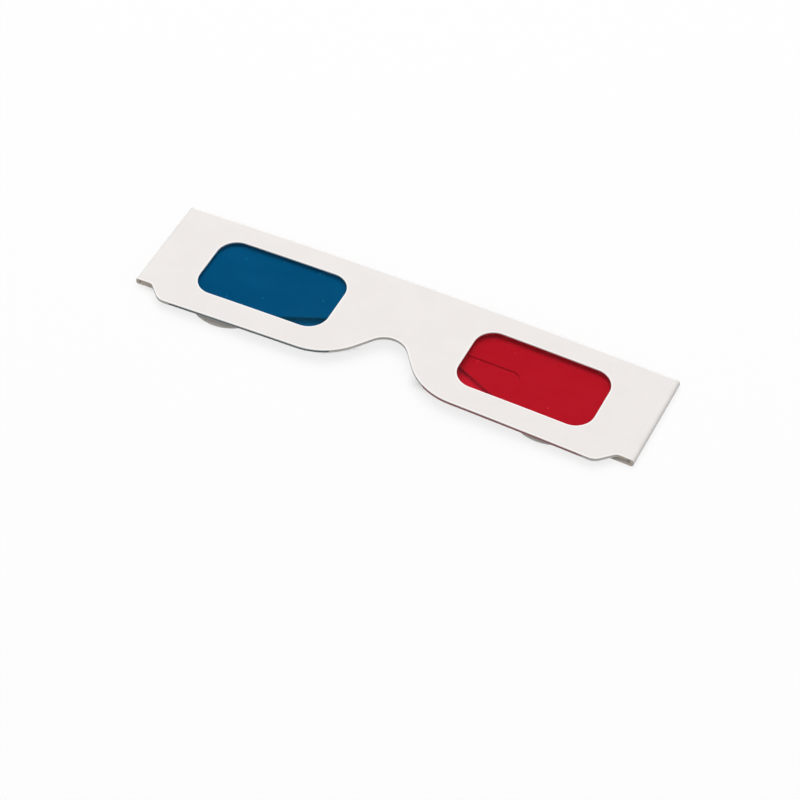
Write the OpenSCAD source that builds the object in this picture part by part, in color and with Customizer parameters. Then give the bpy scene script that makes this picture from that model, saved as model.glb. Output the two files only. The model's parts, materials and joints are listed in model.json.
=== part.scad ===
// Card 3-D glasses, folded flat and lying face up.
// X runs along the width, Y towards the top edge and Z up, out of the front face.

/* [Front] */
// Width of the front, from fold to fold
front_width = 145; // [130:1:160]
// Top edge above the middle of the windows
top_height = 16.8; // [14:0.1:22]
// Bottom edge below the middle of the windows, beside the nose
bottom_drop = 17.4; // [15:0.1:22]
// How much lower the bottom edge is at its outer ends
bottom_slant = 0.6; // [0:0.1:2]
// How far the middle of the front stands above its ends
bow_rise = 1.5; // [0.5:0.1:4]

/* [Windows] */
// How far each window lies outward from the middle of its half of the front
window_shift = 2.15; // [-2:0.05:5]
// Width of a window
window_width = 38.6; // [30:0.1:44]
// Height of a window
window_height = 20.7; // [16:0.1:24]
// Corner radius of a window
window_radius = 5.6; // [2:0.1:8]

/* [Nose cut] */
// Height of the nose cut above the bottom edge
nose_height = 13.4; // [10:0.1:16]
// Radius of the arch at its top
nose_radius = 6.3; // [4:0.1:9]
// Slope of its flanks
nose_flank = 52; // [45:1:65]
// Radius where a flank runs into the bottom edge
shoulder_radius = 18; // [6:0.5:20]

/* [Side notches] */
// Lower end of the folds below the middle of the windows
fold_drop = 13.6; // [11:0.1:15]
// Length of the notch beside the fold
notch_width = 4.8; // [3:0.1:7]
// Slope of the notch down to the bottom edge
notch_slope = 45; // [35:1:60]
// Radius inside the notch
notch_fillet = 2; // [0.5:0.1:3]
// Radius where the notch runs into the bottom edge
notch_round = 4; // [1:0.1:6]

/* [Temples] */
// How far the tip of a folded temple stops short of the other fold
tip_gap = 13.5; // [5:0.5:25]
// Height of the arm below the top edge
arm_height = 15.5; // [12:0.1:19]
// Distance from the fold to where the lower edge starts to rise
root_length = 30; // [20:0.5:36]
// Distance from the fold to where the arm becomes straight
taper_end = 63.7; // [50:0.5:75]
// Radius of the two bends of the lower edge
taper_round = 22; // [5:1:40]
// Radius of the ear hook
hook_radius = 12; // [9:0.1:13]
// Lowest point of the hook above the lowest point of the front
hook_rise = 0.3; // [-2:0.1:3]
// Radius between the arm and the hook
hook_fillet = 3; // [1:0.1:5]
// Radius of the upper corner of the tip
tip_radius = 8; // [3:0.5:11]

/* [Card and film] */
// Thickness of the card blank
card_thickness = 0.45; // [0.3:0.01:0.6]
// Thickness of the backing card
backing_thickness = 0.4; // [0.25:0.01:0.6]
// Thickness of the colour film
film_thickness = 0.15; // [0.05:0.01:0.25]
// Width of a film strip
film_width = 46.5; // [40:0.5:52]
// Film past the window on the nose side
film_lap = 5.6; // [2:0.1:7]

/* [Clearances] */
// Gap between the backing and the inner temple at the fold
tuck_gap = 0.45; // [0.2:0.05:1]
// Gap between the two temples
temple_gap = 0.15; // [0.1:0.05:0.5]
// Backing card stops this far short of the creases
backing_setback = 0.6; // [0.3:0.1:2]
// Glue stops this far short of the film
glue_setback = 0.5; // [0.2:0.1:2]

/* [Hidden] */
$fn = 96;
// Segments of a full turn on the large bow radius
bow_fn = 3600;
// How far a rounding arc reaches past its two edges, so that it crosses them cleanly
arc_bite = 0.003;
// How far the sliver cut or filled at a corner reaches past the corner itself
corner_push = 0.5;
// Colours
card_colour = [0.94, 0.92, 0.90];
backing_colour = [0.88, 0.86, 0.83];
glue_colour = [0.80, 0.76, 0.62];
blue_colour = [0.01, 0.31, 0.48];
red_colour = [0.72, 0.08, 0.14];

// Height of the folded stack at the outer fold, from the floor to the front face
stack_height = 3 * card_thickness + temple_gap + tuck_gap + backing_thickness + film_thickness;
// Outer bend radius of each crease: the right temple wraps round the left one
right_bend = stack_height / 2;
left_bend = right_bend - (card_thickness + temple_gap) / 2;
// Radius of the bowed front face, to a tenth of a millimetre
bow_radius = round(10 * ((front_width / 2) ^ 2 + bow_rise ^ 2) / (2 * bow_rise)) / 10;
// Half the distance between the hinge axes
hinge_reach = (front_width - left_bend - right_bend) / 2;
// The bow's axis: midway between the hinge axes, at the height that puts the right temple on the floor
bow_middle = (left_bend - right_bend) / 2;
bow_axis = right_bend - drop_to_hinge(right_bend);
// Length of a temple, from the fold to its tip
temple_length = front_width - tip_gap;
// Lower end of the bottom edge, at the notches
low_drop = bottom_drop + bottom_slant;
// Lowest point of the hook below the middle of the windows
hook_drop = low_drop - hook_rise;
// Lowest reach of the part, and the shift that centres it front to back
lowest_drop = max(low_drop, hook_drop);
centre_shift = (lowest_drop - top_height) / 2;
// Anything taller than the folded part
cut_height = stack_height + bow_rise + 2;
// Distance between the middles of the windows
window_spacing = front_width / 2 + 2 * window_shift;
// Edges of the film strips, from the middle of the front
film_inner = window_spacing / 2 - window_width / 2 - film_lap;
film_outer = film_inner + film_width;

// Height of a hinge axis above the bow's axis, for a crease of this outer radius
function drop_to_hinge(bend) = sqrt((bow_radius - bend) ^ 2 - hinge_reach ^ 2);
// Angle of the bowed front at a crease of this outer radius
function end_angle(bend) = asin(hinge_reach / (bow_radius - bend));
// Unit vector from one point to another
function direction(from, to) = (to - from) / norm(to - from);
// Positive where the outline turns left at a corner
function turn(before, corner, after) = cross(corner - before, after - corner);

// The sliver between a sharp corner and the arc that rounds it
module corner_sliver(before, corner, after, radius) {
    to_before = direction(corner, before);
    to_after = direction(corner, after);
    to_middle = direction([0, 0], to_before + to_after);
    half_angle = acos(to_before * to_after) / 2;
    reach = radius - arc_bite;
    tangent_length = reach / tan(half_angle);
    difference() {
        polygon([
            corner - to_middle * corner_push,
            corner + to_before * tangent_length,
            corner + to_after * tangent_length,
        ]);
        translate(corner + to_middle * reach / sin(half_angle))
            circle(r = radius);
    }
}

// A polygon, listed anticlockwise, with a radius at each corner
module rounded_outline(points, radii) {
    count = len(points);
    difference() {
        union() {
            polygon(points);
            for (i = [0 : count - 1]) {
                before = points[(i + count - 1) % count];
                after = points[(i + 1) % count];
                if (radii[i] > 0 && turn(before, points[i], after) < 0)
                    corner_sliver(before, points[i], after, radii[i]);
            }
        }
        for (i = [0 : count - 1]) {
            before = points[(i + count - 1) % count];
            after = points[(i + 1) % count];
            if (radii[i] > 0 && turn(before, points[i], after) > 0)
                corner_sliver(before, points[i], after, radii[i]);
        }
    }
}

// Outer outline of the front, which all its layers share
module front_outline() {
    half = front_width / 2;
    nose_apex = nose_height - bottom_drop + nose_radius * (1 / cos(nose_flank) - 1);
    nose_foot = (nose_apex + bottom_drop) / tan(nose_flank);
    notch_top = half - notch_width;
    notch_foot = notch_top - (low_drop - fold_drop) / tan(notch_slope);
    rounded_outline(
        [
            [half, top_height],
            [-half, top_height],
            [-half, -fold_drop],
            [-notch_top, -fold_drop],
            [-notch_foot, -low_drop],
            [-nose_foot, -bottom_drop],
            [0, nose_apex],
            [nose_foot, -bottom_drop],
            [notch_foot, -low_drop],
            [notch_top, -fold_drop],
            [half, -fold_drop],
        ],
        [
            0,
            0,
            0,
            notch_fillet,
            notch_round,
            shoulder_radius,
            nose_radius,
            shoulder_radius,
            notch_round,
            notch_fillet,
            0,
        ]
    );
}

// Both windows
module windows() {
    wide = window_width / 2;
    tall = window_height / 2;
    for (side = [-1, 1])
        translate([side * window_spacing / 2, 0])
            rounded_outline(
                [[wide, tall], [-wide, tall], [-wide, -tall], [wide, -tall]],
                [window_radius, window_radius, window_radius, window_radius]
            );
}

// Part of the front between two distances from its middle
module front_band(left, right) {
    intersection() {
        front_outline();
        translate([left, -low_drop - 1])
            square([right - left, top_height + low_drop + 2]);
    }
}

// One bowed layer of the front, cut to a flat outline
module bowed_layer(depth, thickness, setback = 0) {
    left_end = end_angle(left_bend) - setback / bow_radius * 180 / PI;
    right_end = end_angle(right_bend) - setback / bow_radius * 180 / PI;
    translate([0, centre_shift, 0])
        intersection() {
            translate([bow_middle, 0, bow_axis])
                rotate([90, 0, 0])
                    rotate([0, 0, 90 - right_end])
                        rotate_extrude(angle = left_end + right_end, $fn = bow_fn)
                            translate([bow_radius - depth - thickness, -top_height - 1])
                                square([thickness, top_height + low_drop + 2]);
            linear_extrude(height = cut_height)
                children();
        }
}

// One crease on the right hand side, wrapped round its hinge axis
module crease(bend) {
    translate([front_width / 2 - bend, centre_shift, bow_axis + drop_to_hinge(bend)])
        rotate([90, 0, 0])
            rotate([0, 0, -90])
                rotate_extrude(angle = 180 - end_angle(bend))
                    translate([bend - card_thickness, -top_height])
                        square([card_thickness, top_height + fold_drop]);
}

// One temple on the right hand side, tucked under the front
module temple(bend) {
    hook_centre = [temple_length - hook_radius, hook_radius - hook_drop];
    hook_inside = hook_centre.x - hook_radius + arc_bite;
    tip = hook_centre.x + hook_radius - arc_bite;
    arm_edge = top_height - arm_height;
    translate([front_width / 2, centre_shift, bow_axis + drop_to_hinge(bend) - bend])
        linear_extrude(height = card_thickness)
            mirror([1, 0])
                union() {
                    rounded_outline(
                        [
                            [tip, top_height],
                            [bend, top_height],
                            [bend, -fold_drop],
                            [root_length, -fold_drop],
                            [taper_end, arm_edge],
                            [hook_inside, arm_edge],
                            [hook_inside, hook_centre.y],
                            [tip, hook_centre.y],
                        ],
                        [tip_radius, 0, 0, taper_round, taper_round, hook_fillet, 0, 0]
                    );
                    translate(hook_centre)
                        circle(r = hook_radius);
                }
}

// Face of the card blank, with both windows
module front_card() {
    color(card_colour)
        bowed_layer(0, card_thickness)
            difference() {
                front_outline();
                windows();
            }
}

// Backing card, die-cut with the front
module back_card() {
    color(backing_colour)
        bowed_layer(card_thickness + film_thickness, backing_thickness, backing_setback)
            difference() {
                front_outline();
                windows();
            }
}

// Colour films, trapped between the two cards from top to bottom edge
module blue_film() {
    color(blue_colour)
        bowed_layer(card_thickness, film_thickness)
            front_band(-film_outer, -film_inner);
}

module red_film() {
    color(red_colour)
        bowed_layer(card_thickness, film_thickness)
            front_band(film_inner, film_outer);
}

// Glue, where no film lies between the cards
module glue_left_end() {
    color(glue_colour)
        bowed_layer(card_thickness, film_thickness, backing_setback)
            front_band(-front_width / 2, -film_outer - glue_setback);
}

module glue_bridge() {
    color(glue_colour)
        bowed_layer(card_thickness, film_thickness)
            front_band(glue_setback - film_inner, film_inner - glue_setback);
}

module glue_right_end() {
    color(glue_colour)
        bowed_layer(card_thickness, film_thickness, backing_setback)
            front_band(film_outer + glue_setback, front_width / 2);
}

// Creases of the card blank, the hinges of the temples
module left_crease() {
    color(card_colour)
        mirror([1, 0, 0])
            crease(left_bend);
}

module right_crease() {
    color(card_colour)
        crease(right_bend);
}

// Temples of the card blank: the left one lies inside, the right one below it
module left_temple() {
    color(card_colour)
        mirror([1, 0, 0])
            temple(left_bend);
}

module right_temple() {
    color(card_colour)
        temple(right_bend);
}

front_card();
back_card();
blue_film();
red_film();
glue_left_end();
glue_bridge();
glue_right_end();
left_crease();
right_crease();
left_temple();
right_temple();
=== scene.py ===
import json
import math

import bmesh
import bpy
from mathutils import Matrix, Vector


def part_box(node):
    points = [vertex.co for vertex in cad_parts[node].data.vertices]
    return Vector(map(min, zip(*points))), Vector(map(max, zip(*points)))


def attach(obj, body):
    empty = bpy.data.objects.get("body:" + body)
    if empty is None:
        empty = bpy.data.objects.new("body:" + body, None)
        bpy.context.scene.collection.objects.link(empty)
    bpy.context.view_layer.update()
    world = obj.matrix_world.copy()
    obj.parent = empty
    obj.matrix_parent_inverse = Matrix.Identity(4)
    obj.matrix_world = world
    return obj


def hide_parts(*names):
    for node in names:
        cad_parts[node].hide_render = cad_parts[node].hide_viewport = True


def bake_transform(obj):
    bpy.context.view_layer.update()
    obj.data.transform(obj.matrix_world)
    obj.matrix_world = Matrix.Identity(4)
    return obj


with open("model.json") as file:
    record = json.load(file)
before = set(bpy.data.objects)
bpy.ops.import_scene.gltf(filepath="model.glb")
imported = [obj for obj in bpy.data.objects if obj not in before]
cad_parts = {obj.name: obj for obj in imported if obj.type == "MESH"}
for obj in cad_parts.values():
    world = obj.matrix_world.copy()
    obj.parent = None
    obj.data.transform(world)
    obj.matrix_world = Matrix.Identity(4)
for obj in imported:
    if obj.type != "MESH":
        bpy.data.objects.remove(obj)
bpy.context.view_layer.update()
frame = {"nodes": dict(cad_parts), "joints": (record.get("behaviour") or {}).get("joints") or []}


# Front of the card blank
# The face of one strip of white folding board, die-cut in one stroke with both windows,
# the nose cut and the side notches. The laminated front springs into a slight bow.
mm = 0.001
card_thickness = 0.45 * mm
front_half = 72.5 * mm
# Heights are counted from the middle of the windows. The lower edge drops a little on its way out from
# the nose cut, and then the notches step it up to the folds.
top_height = 16.8 * mm
bottom_drop = 17.4 * mm
low_drop = 18.0 * mm
fold_drop = 13.6 * mm
window_middle = 38.4 * mm
window_half_width = 19.3 * mm
window_half_height = 10.35 * mm
window_radius = 5.6 * mm
nose_top = -4.0 * mm
nose_radius = 6.3 * mm
nose_flank = math.radians(52)
shoulder_radius = 18 * mm
notch_width = 4.8 * mm
notch_fillet = 2 * mm
notch_round = 4 * mm
bow_rise = 1.5 * mm
cut_edge_round = 0.1 * mm
# A strip this wide round the front's cut edges and windows is painted lighter: a painted highlight along
# the die-cut rim.
highlight_rim_width = 0.45 * mm
# Cut edges this far outside the windows, beside the films, get painted shade.
painted_shade_margin = 2 * mm

# The bow's radius is taken to a tenth of a millimetre, as in the solids, and its axis runs midway
# between the two hinges. The outline is shifted to have its middle at y = 0.
bow_radius = round((front_half**2 + bow_rise**2) / (2 * bow_rise), 4)
hinges = {joint["name"]: joint["pos_m"] for joint in frame["joints"]}
bow_middle = (hinges["left_temple_fold"][0] + hinges["right_temple_fold"][0]) / 2
front_low, front_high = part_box("front_card")
bow_axis = front_high.z - bow_radius
middle_shift = (low_drop - top_height) / 2

nose_apex = nose_top + nose_radius * (1 / math.cos(nose_flank) - 1)
nose_foot = (nose_apex + bottom_drop) / math.tan(nose_flank)
notch_top = front_half - notch_width
notch_foot = notch_top - (low_drop - fold_drop)
right_corners = [
    (nose_foot, -bottom_drop, shoulder_radius),
    (notch_foot, -low_drop, notch_round),
    (notch_top, -fold_drop, notch_fillet),
    (front_half, -fold_drop, 0),
]
left_corners = [(-x, y, radius) for x, y, radius in reversed(right_corners)]
front_corners = [
    (front_half, top_height, 0),
    (-front_half, top_height, 0),
    *left_corners,
    (0, nose_apex, nose_radius),
    *right_corners,
]
window_corners = [
    (window_half_width, window_half_height),
    (-window_half_width, window_half_height),
    (-window_half_width, -window_half_height),
    (window_half_width, -window_half_height),
]
window_loops = [
    [(sign * window_middle + x, y, window_radius) for x, y in window_corners] for sign in (-1, 1)
]

# How finely a sheet is divided: the steps in an arc, the width of the rows that let the front bend,
# how near to a row's cut a point is moved onto it, and the angle under which a seam is dissolved.
arc_steps = 12
front_row = 2.5 * mm
cut_snap = 0.06 * mm
flat_angle = 0.001
# How near to an end a face belongs to it, the share of a normal along an axis above which a face looks
# that way, and the angle above which an edge stays sharp.
join_tolerance = 0.01 * mm
facing_share = 0.5
sharp_angle = math.radians(50)

# A sheet's face has its first material, 0, and these are its others.
cut_index = 1
rim_index = 2
frayed_index = 3
# The last two slots hold painted shade on the cut edges beside each film.
painted_shade_index = {"blue": 4, "red": 5}

# Along the front, from the left fold to the right one.
rightwards = Vector((1, 0, 0))


def rounded_loop(bm, corners):
    """Draws a closed line round these corners, each (x, y, radius), with a true arc at each radius."""
    points = [Vector((x, y, 0)) for x, y, _ in corners]
    ends = []
    for i, (_, _, radius) in enumerate(corners):
        back = (points[i - 1] - points[i]).normalized()
        ahead = (points[(i + 1) % len(points)] - points[i]).normalized()
        half = back.angle(ahead) / 2
        start = bm.verts.new(points[i] + back * radius / math.tan(half))
        end = start
        if radius:
            centre = points[i] + (back + ahead).normalized() * radius / math.sin(half)
            turn = math.copysign(math.pi - 2 * half, -back.cross(ahead).z)
            arc = bmesh.ops.spin(
                bm, geom=[start], cent=centre, axis=(0, 0, 1), angle=turn, steps=arc_steps
            )
            end = arc["geom_last"][0]
        ends.append((start, end))
    for (_, end), (next_start, _) in zip(ends, ends[1:] + ends[:1]):
        bm.edges.new((end, next_start))


def cut_through(bm, way, distance, **options):
    """Cuts through the whole mesh, square to this direction and this far along it."""
    everything = bm.verts[:] + bm.edges[:] + bm.faces[:]
    bmesh.ops.bisect_plane(bm, geom=everything, plane_co=way * distance, plane_no=way, **options)


def cut_sheet(loops, row_width, rim=0):
    """A flat sheet inside these loops, cut across into rows so that it can bend. A strip of it along
    the loops, this wide, is marked as its rim."""
    bm = bmesh.new()
    for corners in loops:
        rounded_loop(bm, corners)
    bmesh.ops.translate(bm, verts=bm.verts[:], vec=(0, middle_shift, 0))
    bmesh.ops.triangle_fill(bm, edges=bm.edges[:], use_beauty=True)
    bmesh.ops.dissolve_limit(bm, angle_limit=flat_angle, verts=bm.verts[:], edges=bm.edges[:])
    if rim:
        strip = bmesh.ops.inset_region(
            bm, faces=bm.faces[:], thickness=rim, use_boundary=True, use_even_offset=True
        )
        for face in strip["faces"]:
            face.material_index = rim_index
    reach = max(vert.co.x for vert in bm.verts)
    for i in range(int(2 * reach / row_width)):
        cut_through(bm, rightwards, (i + 0.5) * row_width - reach, dist=cut_snap)
    return bm


def trim_sheet(bm, left, right):
    """Cuts a sheet off at two places along its width."""
    for way, distance in ((-rightwards, -left), (rightwards, right)):
        cut_through(bm, way, distance, dist=cut_snap, clear_outer=True)


def thicken(bm, thickness, joined_ends=()):
    """Gives a sheet its thickness, down from z = 0, and marks its cut edges. Returns their rims, but
    not those of ends that run on into another piece, given by their place in x."""
    lower = bmesh.ops.extrude_face_region(bm, geom=bm.faces[:], use_keep_orig=True)["geom"]
    lower_points = [part for part in lower if isinstance(part, bmesh.types.BMVert)]
    bmesh.ops.translate(bm, verts=lower_points, vec=(0, 0, -thickness))
    bmesh.ops.recalc_face_normals(bm, faces=bm.faces[:])
    rims = []
    for face in bm.faces:
        if abs(face.normal.z) > facing_share:
            continue
        face.material_index = cut_index
        middle = face.calc_center_median()
        if any(abs(middle.x - end) < join_tolerance for end in joined_ends):
            continue
        for edge in face.edges:
            first, second = edge.verts
            if abs(first.co.z - second.co.z) < thickness / 2:
                rims.append(edge)
    return list(dict.fromkeys(rims))


def round_off(bm, rims):
    """Rounds the rims of a card a little, as the die leaves them."""
    bmesh.ops.bevel(
        bm, geom=rims, offset=cut_edge_round, offset_type="OFFSET", affect="EDGES",
        segments=2, profile=0.5, material=-1, clamp_overlap=True,
    )


def fray_ends(bm):
    """Marks the cut edges next to the folds, where the score frays them."""
    for face in bm.faces:
        if face.material_index == cut_index and abs(face.calc_center_median().x) > notch_top:
            face.material_index = frayed_index


def paint_shade_beside_films(bm):
    """Paints shade on the outer cut edges beside the films: a darker card there, tinged towards each
    film's colour.
    """
    for colour, index in painted_shade_index.items():
        low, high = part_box(f"{colour}_film")
        for face in bm.faces:
            middle = face.calc_center_median()
            beside_film = low.x < middle.x < high.x
            outer = abs(middle.y) > window_half_height + painted_shade_margin
            if face.material_index == cut_index and beside_film and outer:
                face.material_index = index


def bow_height(x, depth=0):
    """How high the bow stands over its axis at this place, this far below the front's face."""
    return math.sqrt((bow_radius - depth) ** 2 - (x - bow_middle) ** 2)


def lay_on_bow(bm, depth):
    """Bends a thickened sheet to the bow of the front, this far below its face."""
    for vert in bm.verts:
        vert.co.z = bow_axis + bow_height(vert.co.x, depth - vert.co.z)


def finished(name, bm, *materials):
    """Makes the piece's object, smooth but for its cut edges."""
    mesh = bpy.data.meshes.new(name)
    bm.to_mesh(mesh)
    bm.free()
    mesh.shade_smooth()
    mesh.set_sharp_from_angle(angle=sharp_angle)
    for material in materials:
        mesh.materials.append(material)
    piece = bpy.data.objects.new(name, mesh)
    bpy.context.scene.collection.objects.link(piece)
    return piece


def add_node(owner, kind, **settings):
    """Adds one shader node to a material or to the world, and sets its inputs by name."""
    node = owner.node_tree.nodes.new(kind)
    for name, value in settings.items():
        node.inputs[name.replace("_", " ")].default_value = value
    return node


def grain(material, scale, detail):
    """A noise on the piece's own coordinates, with its own scale along each axis, per metre."""
    links = material.node_tree.links
    place = add_node(material, "ShaderNodeTexCoord")
    stretch = add_node(material, "ShaderNodeMapping", Scale=scale)
    noise = add_node(material, "ShaderNodeTexNoise", Scale=1.0, Detail=detail, Roughness=0.6)
    links.new(place.outputs["Object"], stretch.inputs["Vector"])
    links.new(stretch.outputs["Vector"], noise.inputs["Vector"])
    return noise.outputs["Fac"]


def spread(owner, value, low, high, start=0.35, end=0.65):
    """Maps a range of a value, which is a noise's usual one unless given, to a range of numbers."""
    node = add_node(
        owner, "ShaderNodeMapRange", From_Min=start, From_Max=end, To_Min=low, To_Max=high
    )
    owner.node_tree.links.new(value, node.inputs["Value"])
    return node.outputs["Result"]


def combine(owner, operation, first, second):
    """Puts two values together by an operation such as ADD."""
    node = add_node(owner, "ShaderNodeMath")
    node.operation = operation
    owner.node_tree.links.new(first, node.inputs[0])
    owner.node_tree.links.new(second, node.inputs[1])
    return node.outputs["Value"]


def colour_between(material, share, first, second, clamped=True):
    """A colour that goes from the first to the second as the share goes from 0 to 1."""
    node = add_node(material, "ShaderNodeMix")
    node.data_type = "RGBA"
    node.clamp_factor = clamped
    node.inputs["A"].default_value = (*first, 1)
    node.inputs["B"].default_value = (*second, 1)
    material.node_tree.links.new(share, node.inputs["Factor"])
    return node.outputs["Result"]


def relief(material, height, depth, strength):
    """A bumpy normal from a value, this deep."""
    node = add_node(material, "ShaderNodeBump", Strength=strength, Distance=depth)
    material.node_tree.links.new(height, node.inputs["Height"])
    return node.outputs["Normal"]


def card_surface(name, pale, dull, fibres, fibre_height, roughness):
    """Card, or glue or film where it is cut with the card: clouds between two tones, fine fibres with
    their own scale along each axis, per metre, and a nearly matt skin."""
    cloud_scale = (130, 160, 160)
    cloud_share = 0.65
    roughness_swing = 0.05
    material = bpy.data.materials.new(name)
    material.use_nodes = True
    links = material.node_tree.links
    skin = material.node_tree.nodes["Principled BSDF"]
    skin.inputs["Specular IOR Level"].default_value = 0.3
    clouds = grain(material, cloud_scale, detail=3)
    fibre = grain(material, fibres, detail=5)
    cloud_tone = spread(material, clouds, 0, cloud_share)
    fibre_tone = spread(material, fibre, 0, 1 - cloud_share)
    tone = colour_between(material, combine(material, "ADD", cloud_tone, fibre_tone), dull, pale)
    dullness = spread(material, fibre, roughness - roughness_swing, roughness + roughness_swing)
    links.new(tone, skin.inputs["Base Color"])
    links.new(dullness, skin.inputs["Roughness"])
    links.new(relief(material, fibre, fibre_height, strength=0.5), skin.inputs["Normal"])
    return material


face_fibres = (1500, 4500, 4500)
cut_fibres = (900, 900, 9000)
face_card = card_surface(
    "face card", pale=(0.885, 0.845, 0.82), dull=(0.855, 0.815, 0.79),
    fibres=face_fibres, fibre_height=0.01 * mm, roughness=0.58,
)
cut_card = card_surface(
    "cut card", pale=(0.90, 0.88, 0.86), dull=(0.80, 0.77, 0.73),
    fibres=cut_fibres, fibre_height=0.02 * mm, roughness=0.85,
)
# Painted highlight: a whiter, glossier card for the strip along the front's cut edges.
painted_highlight_card = card_surface(
    "painted highlight rim", pale=(0.965, 0.95, 0.94), dull=(0.945, 0.925, 0.91),
    fibres=face_fibres, fibre_height=0.01 * mm, roughness=0.5,
)
frayed_card = card_surface(
    "frayed card", pale=(0.93, 0.84, 0.73), dull=(0.74, 0.64, 0.53),
    fibres=(4000, 900, 4000), fibre_height=0.03 * mm, roughness=0.85,
)
# Painted shade: the cut edges beside each film are darker, tinged towards its colour.
blue_side_painted_shade = card_surface(
    "painted shade beside blue film", pale=(0.74, 0.745, 0.74), dull=(0.64, 0.645, 0.64),
    fibres=cut_fibres, fibre_height=0.02 * mm, roughness=0.85,
)
red_side_painted_shade = card_surface(
    "painted shade beside red film", pale=(0.72, 0.62, 0.60), dull=(0.60, 0.50, 0.48),
    fibres=cut_fibres, fibre_height=0.02 * mm, roughness=0.85,
)

front_sheet = cut_sheet([front_corners, *window_loops], front_row, highlight_rim_width)
trim_sheet(front_sheet, front_low.x, front_high.x)
round_off(front_sheet, thicken(front_sheet, card_thickness, (front_low.x, front_high.x)))
fray_ends(front_sheet)
paint_shade_beside_films(front_sheet)
lay_on_bow(front_sheet, 0)
card_front = finished(
    "card_front", front_sheet, face_card, cut_card, painted_highlight_card, frayed_card, blue_side_painted_shade, red_side_painted_shade
)
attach(card_front, "front")
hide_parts("front_card")


# Colour films
# Two strips of clear dyed film, blue on the left and red on the right, as tall as the front.
# They are laid behind the windows and cut with the card. The die presses the cut edge of the film
# into a bead, which fills the groove between the two rounded cards and shows in the stack.
film_thickness = 0.15 * mm
film_bead = cut_edge_round


def show_mix(owner, share, first, second, output="Material Output"):
    """Shows two shaders mixed: this share of the second one, and the rest of the first."""
    links = owner.node_tree.links
    mix = add_node(owner, "ShaderNodeMixShader")
    links.new(share, mix.inputs["Fac"])
    links.new(first, mix.inputs[1])
    links.new(second, mix.inputs[2])
    links.new(mix.outputs["Shader"], owner.node_tree.nodes[output].inputs["Surface"])


def film_surface(name, deep, light, dye):
    """Dyed film: it passes its own colour, mirrors a little and has faint ripples, smears and dust."""
    smear_scale = (60, 220, 220)
    clean_roughness = 0.08
    smeared_roughness = 0.2
    ripple_scale = (50, 90, 90)
    ripple_depth = 0.3 * mm
    # Dust has this many specks per metre each way, and their radii are shares of the space between them.
    dust_scale = 70.0
    dust_core = 0.012
    dust_rim = 0.024
    dust_lightness = 8
    material = bpy.data.materials.new(name)
    material.use_nodes = True
    links = material.node_tree.links
    gloss = material.node_tree.nodes["Principled BSDF"]
    gloss.inputs["Base Color"].default_value = (*dye, 1)
    gloss.inputs["Specular IOR Level"].default_value = 1.0
    smears = grain(material, smear_scale, detail=4)
    smear_shine = spread(material, smears, clean_roughness, smeared_roughness)
    links.new(smear_shine, gloss.inputs["Roughness"])
    ripples = relief(material, grain(material, ripple_scale, detail=1), ripple_depth, strength=0.3)
    links.new(ripples, gloss.inputs["Normal"])
    place = add_node(material, "ShaderNodeTexCoord")
    dust = add_node(material, "ShaderNodeTexVoronoi", Scale=dust_scale)
    dust.voronoi_dimensions = "2D"
    links.new(place.outputs["Object"], dust.inputs["Vector"])
    specks = spread(material, dust.outputs["Distance"], dust_lightness, 0, dust_core, dust_rim)
    # A speck of dust goes on past the light tint, so it shows as a pale dot.
    tint_share = combine(material, "ADD", spread(material, smears, 0, 1), specks)
    tint = colour_between(material, tint_share, deep, light, clamped=False)
    clear = add_node(material, "ShaderNodeBsdfTransparent")
    links.new(tint, clear.inputs["Color"])
    mirror = add_node(material, "ShaderNodeFresnel", IOR=1.25)
    links.new(ripples, mirror.inputs["Normal"])
    show_mix(material, mirror.outputs["Fac"], clear.outputs["BSDF"], gloss.outputs["BSDF"])
    return material


blue_dye = film_surface(
    "blue film", deep=(0.13, 0.585, 0.745), light=(0.15, 0.605, 0.765), dye=(0.01, 0.10, 0.20)
)
red_dye = film_surface(
    "red film", deep=(0.905, 0.285, 0.385), light=(0.915, 0.305, 0.405), dye=(0.40, 0.02, 0.03)
)
blue_edge = card_surface(
    "blue film edge", pale=(0.01, 0.06, 0.08), dull=(0.004, 0.03, 0.05),
    fibres=cut_fibres, fibre_height=0.02 * mm, roughness=0.4,
)
red_edge = card_surface(
    "red film edge", pale=(0.40, 0.02, 0.035), dull=(0.28, 0.01, 0.02),
    fibres=cut_fibres, fibre_height=0.02 * mm, roughness=0.4,
)
for colour, surface, edge in (("blue", blue_dye, blue_edge), ("red", red_dye, red_edge)):
    film_low, film_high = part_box(f"{colour}_film")
    film_sheet = cut_sheet([front_corners], front_row, film_bead / 2)
    trim_sheet(film_sheet, film_low.x, film_high.x)
    rims = thicken(film_sheet, film_thickness, (film_low.x, film_high.x))
    for vert in {vert for rim in rims for vert in rim.verts}:
        vert.co.z += math.copysign(film_bead, vert.co.z + film_thickness / 2)
    bmesh.ops.recalc_face_normals(film_sheet, faces=film_sheet.faces[:])
    lay_on_bow(film_sheet, card_thickness)
    film = finished(f"film_{colour}", film_sheet, surface, edge, edge)
    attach(film, "front")
    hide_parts(f"{colour}_film")


# Glue
# Dried white paper glue in the three places without film: both ends and the bridge of the nose.
# Only its edge shows, as a pale line between the two cards.
dried_glue = card_surface(
    "dried glue", pale=(0.80, 0.74, 0.66), dull=(0.68, 0.61, 0.52),
    fibres=(700, 700, 2500), fibre_height=0.03 * mm, roughness=0.45,
)
for place in ("left_end", "bridge", "right_end"):
    glue = frame["nodes"][f"glue_{place}"]
    glue.data.materials.clear()
    glue.data.materials.append(dried_glue)


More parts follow.
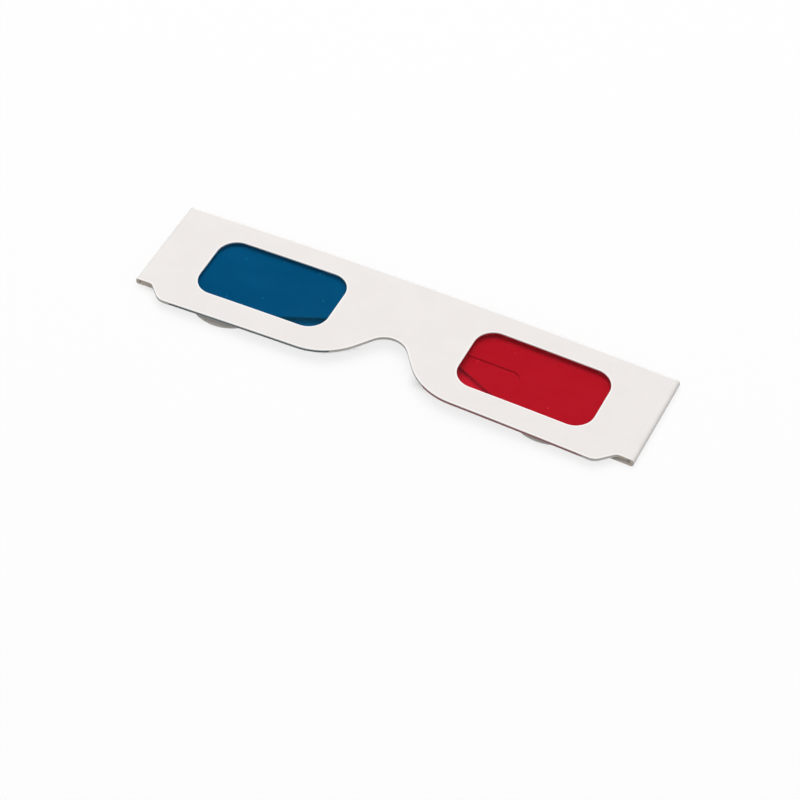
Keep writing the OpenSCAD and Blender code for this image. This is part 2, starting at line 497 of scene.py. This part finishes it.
# Backing card
# A second, thinner card behind the films, die-cut with the same outline and windows.
# It is uncoated and stops just short of the folds, so that the temples can tuck under it.
backing_thickness = 0.4 * mm
backing_card = card_surface(
    "backing card", pale=(0.82, 0.775, 0.735), dull=(0.77, 0.725, 0.68),
    fibres=(1000, 3000, 3000), fibre_height=0.02 * mm, roughness=0.85,
)
backing_low, backing_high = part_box("back_card")
backing_sheet = cut_sheet([front_corners, *window_loops], front_row)
trim_sheet(backing_sheet, backing_low.x, backing_high.x)
round_off(backing_sheet, thicken(backing_sheet, backing_thickness))
fray_ends(backing_sheet)
paint_shade_beside_films(backing_sheet)
lay_on_bow(backing_sheet, card_thickness + film_thickness)
# It has no painted highlight rim, so its own card stands in that one's place.
card_backing = finished(
    "card_backing", backing_sheet,
    backing_card, cut_card, backing_card, frayed_card, blue_side_painted_shade, red_side_painted_shade,
)
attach(card_backing, "front")
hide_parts("back_card")


# Folds
# The blank is scored at both ends of the front and bent right round there, nearly square at the left
# and rounder at the right. The squeezed card inside the bend swells and nearly fills it, and its
# outer skin has fine cracks along the score.
# The two sides, with the sign that x has there.
sides = {"left": -1, "right": 1}
squareness = {"left": 4, "right": 2.4}
hollow_share = 0.25
score_cuts = 23
bend_steps = 24
# The board's inner side takes the place that the painted highlight rim has on the front.
inner_index = rim_index
fold_card = card_surface(
    "folded card", pale=(0.90, 0.865, 0.845), dull=(0.84, 0.805, 0.78),
    fibres=(9000, 700, 9000), fibre_height=0.03 * mm, roughness=0.7,
)
inner_card = card_surface(
    "inner card", pale=(0.84, 0.80, 0.765), dull=(0.80, 0.76, 0.72),
    fibres=(1200, 3600, 3600), fibre_height=0.02 * mm, roughness=0.8,
)
for side, sign in sides.items():
    axis_x, _, axis_z = hinges[f"{side}_temple_fold"]
    fold_low, fold_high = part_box(f"{side}_crease")
    bend_radius = axis_z - fold_low.z
    lean = math.asin((axis_x - bow_middle) / (bow_radius - bend_radius))
    first_x = axis_x + bend_radius * math.sin(lean)
    first_z = axis_z + bend_radius * math.cos(lean)
    bend = bmesh.new()
    score_ends = [bend.verts.new((first_x, end, first_z)) for end in (fold_low.y, fold_high.y)]
    score = bend.edges.new(score_ends)
    bmesh.ops.subdivide_edges(bend, edges=[score], cuts=score_cuts)
    bmesh.ops.spin(
        bend, geom=bend.verts[:] + bend.edges[:], cent=(axis_x, 0, axis_z), axis=(0, sign, 0),
        angle=math.pi - abs(lean), steps=bend_steps,
    )
    # A half-round bend has the exponent 2, and a higher one pushes it out towards its corners.
    exponent = squareness[side]
    for vert in bend.verts:
        out = (vert.co.x - axis_x) / bend_radius
        up = (vert.co.z - axis_z) / bend_radius
        push = (abs(out) ** exponent + abs(up) ** exponent) ** (-1 / exponent)
        vert.co.x = axis_x + out * bend_radius * push
        vert.co.z = axis_z + up * bend_radius * push
    inside = bmesh.ops.extrude_face_region(bend, geom=bend.faces[:], use_keep_orig=True)["geom"]
    inside_points = [part for part in inside if isinstance(part, bmesh.types.BMVert)]
    to_axis = Matrix.Translation((-axis_x, 0, -axis_z))
    bmesh.ops.scale(bend, vec=(hollow_share, 1, hollow_share), space=to_axis, verts=inside_points)
    bmesh.ops.recalc_face_normals(bend, faces=bend.faces[:])
    for face in bend.faces:
        outward = face.calc_center_median() - Vector((axis_x, 0, axis_z))
        outward.y = 0
        if abs(face.normal.y) > facing_share:
            face.material_index = cut_index
        elif face.normal.dot(outward) < 0:
            face.material_index = inner_index
    fold = finished(f"fold_{side}", bend, fold_card, frayed_card, inner_card)
    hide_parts(f"{side}_crease")
    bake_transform(fold)


# Temples
# The two ends of the same blank, cut to an arm with a round hook for the ear and folded under the
# front, the left one first. They take a part of its bow and sag towards the table, where the free end
# of the right one lies. The board's rougher inner side faces up while they are folded.
temple_length = 131.5 * mm
arm_height = 15.5 * mm
root_length = 30 * mm
taper_end = 63.7 * mm
taper_round = 22 * mm
hook_radius = 12 * mm
hook_drop = 17.7 * mm
hook_fillet = 3 * mm
tip_radius = 8 * mm
temple_row = 4 * mm
hook_start = temple_length - 2 * hook_radius
arm_edge = top_height - arm_height
# The hook's end is two arcs with a short straight stretch between them, twice this gap long.
hook_gap = 0.05 * mm
hook_arc = hook_radius - hook_gap
# The share of the front's bow that each temple takes at its root and at its tip, and the places
# along the front, counted towards its own fold, between which one goes over into the other.
root_share = {"left": 1, "right": 0.7}
tip_share = {"left": 0.65, "right": 0}
sag_start = {"left": 30 * mm, "right": 10 * mm}
sag_end = {"left": -20 * mm, "right": -45 * mm}


def eased(value, start, end):
    """Goes smoothly from 0 at the start to 1 at the end."""
    share = min(max((value - start) / (end - start), 0), 1)
    return share**2 * (3 - 2 * share)


for side, sign in sides.items():
    temple_low, temple_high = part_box(f"{side}_temple")
    fold_reach = max(temple_high.x, -temple_low.x)
    fold_end = front_half - fold_reach
    temple_corners = [
        (temple_length, top_height, tip_radius),
        (fold_end, top_height, 0),
        (fold_end, -fold_drop, 0),
        (root_length, -fold_drop, taper_round),
        (taper_end, arm_edge, taper_round),
        (hook_start, arm_edge, hook_fillet),
        (hook_start, -hook_drop, hook_arc),
        (temple_length, -hook_drop, hook_arc),
    ]
    arm = cut_sheet([temple_corners], temple_row)
    round_off(arm, thicken(arm, card_thickness, (fold_end,)))
    for face in arm.faces:
        if face.normal.z > facing_share:
            face.material_index = inner_index
    bmesh.ops.scale(arm, verts=arm.verts[:], vec=(-sign, 1, 1))
    bmesh.ops.translate(arm, verts=arm.verts[:], vec=(sign * front_half, 0, 0))
    bmesh.ops.recalc_face_normals(arm, faces=arm.faces[:])
    fray_ends(arm)
    for vert in arm.verts:
        rise = bow_height(vert.co.x) - bow_height(sign * fold_reach)
        sag = eased(sign * vert.co.x, sag_start[side], sag_end[side])
        bow_share = root_share[side] + (tip_share[side] - root_share[side]) * sag
        vert.co.z += temple_high.z + rise * bow_share
    temple = finished(f"arm_{side}", arm, face_card, cut_card, inner_card, frayed_card)
    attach(temple, f"{side}_arm")
    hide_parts(f"{side}_temple")


# Floor and background
# A plain white table top that fades into white all round. It is solid under the two windows, and
# elsewhere partly see-through, so that the temples, which open downwards from there, stay in sight.
table_white = (0.97, 0.97, 0.97, 1)
floor_half = 600 * mm
plain_half = 200 * mm
plain_share = 0.22
# The solid stretch under the windows and the wider one over which it fades, each from its near to its
# far end. Those along the front, in x, are counted outwards from its middle on both sides.
solid_x = (16 * mm, 62 * mm)
solid_y = (-8 * mm, 12 * mm)
faded_x = (8 * mm, 70 * mm)
faded_y = (-14 * mm, 16 * mm)
margin = 0.1 * mm
backwards = Vector((0, 1, 0))

floor_plane = bmesh.new()
bmesh.ops.create_grid(floor_plane, x_segments=1, y_segments=1, size=floor_half)
cuts_x = [plain_half, faded_x[0], *solid_x, faded_x[1]]
cuts_y = [-plain_half, plain_half, faded_y[0], *solid_y, faded_y[1]]
for place in [sign * cut for sign in (-1, 1) for cut in cuts_x]:
    cut_through(floor_plane, rightwards, place)
for place in cuts_y:
    cut_through(floor_plane, backwards, place)
solid_share = floor_plane.verts.layers.float.new("solid_share")
for vert in floor_plane.verts:
    under_x = solid_x[0] - margin < abs(vert.co.x) < solid_x[1] + margin
    under_y = solid_y[0] - margin < vert.co.y < solid_y[1] + margin
    if under_x and under_y:
        vert[solid_share] = 1
    elif max(abs(vert.co.x), abs(vert.co.y)) < floor_half - margin:
        vert[solid_share] = plain_share
    else:
        vert[solid_share] = 0
white_table = bpy.data.materials.new("white table")
white_table.use_nodes = True
table_top = white_table.node_tree.nodes["Principled BSDF"]
table_top.inputs["Base Color"].default_value = table_white
table_top.inputs["Roughness"].default_value = 0.9
table_share = add_node(white_table, "ShaderNodeAttribute")
table_share.attribute_name = "solid_share"
see_through = add_node(white_table, "ShaderNodeBsdfTransparent")
show_mix(white_table, table_share.outputs["Fac"], see_through.outputs["BSDF"], table_top.outputs["BSDF"])
floor = finished("floor", floor_plane, white_table)
floor.visible_shadow = False

# The background is white to the camera, in mirrors and through the films. As a light it is weaker,
# and weakest at the horizon, from where it grows up to the height at which the fade ends.
sky_white = (1, 1, 1, 1)
horizon_strength = 0.15
upper_strength = 0.6
fade_end = 0.5
world = bpy.data.worlds.new("studio")
world.use_nodes = True
bpy.context.scene.world = world
sky_light = world.node_tree.nodes["Background"]
sky_light.inputs["Color"].default_value = sky_white
direction = add_node(world, "ShaderNodeTexCoord")
height = add_node(world, "ShaderNodeSeparateXYZ")
sky_fade = spread(world, height.outputs["Z"], horizon_strength, upper_strength, 0, fade_end)
world.node_tree.links.new(direction.outputs["Generated"], height.inputs["Vector"])
world.node_tree.links.new(sky_fade, sky_light.inputs["Strength"])
backdrop = add_node(world, "ShaderNodeBackground", Color=sky_white)
path = add_node(world, "ShaderNodeLightPath").outputs
in_film = combine(world, "MAXIMUM", path["Is Transmission Ray"], path["Is Glossy Ray"])
seen = combine(world, "MAXIMUM", path["Is Camera Ray"], in_film)
show_mix(world, seen, sky_light.outputs["Background"], backdrop.outputs["Background"], "World Output")


# Light
# One wide soft lamp, high up and a little behind the glasses, and a weak reflector far out at the
# right, nearly level with them, which lights the fold there and an opened temple.
lamps = (
    ("softbox", 900 * mm, 4.8, (-150 * mm, 250 * mm, 900 * mm)),
    ("reflector", 300 * mm, 0.5, (700 * mm, 100 * mm, 80 * mm)),
)
for name, width, power, place in lamps:
    lamp_data = bpy.data.lights.new(name, "AREA")
    lamp_data.shape = "SQUARE"
    lamp_data.size = width
    lamp_data.energy = power
    lamp = bpy.data.objects.new(name, lamp_data)
    lamp.location = place
    lamp.rotation_euler = (-lamp.location).to_track_quat("-Z", "Y").to_euler()
    bpy.context.scene.collection.objects.link(lamp)


# Camera
# The view of the photograph: from the right, in front and well above, at arm's length.
# It aims below the glasses, so that the temples stay in the picture when they open downwards.
view_azimuth = math.radians(26.35)
view_elevation = math.radians(46.93)
view_distance = 748 * mm
view_middle = Vector((0, 0, 3.5 * mm))
aim_drop = 18 * mm
focal_length = 128
sensor_width = 36
lens = bpy.data.cameras.new("camera")
lens.lens = focal_length
lens.sensor_width = sensor_width
camera = bpy.data.objects.new("camera", lens)
level_out = Vector((math.sin(view_azimuth), -math.cos(view_azimuth), 0))
way_back = level_out * math.cos(view_elevation) + Vector((0, 0, math.sin(view_elevation)))
picture_up = Vector((0, 0, math.cos(view_elevation))) - level_out * math.sin(view_elevation)
aim = view_middle - picture_up * aim_drop
camera.location = view_middle + way_back * view_distance
camera.rotation_euler = (aim - camera.location).to_track_quat("-Z", "Y").to_euler()
bpy.context.scene.collection.objects.link(camera)
bpy.context.scene.camera = camera
bpy.context.scene.view_settings.view_transform = "Standard"
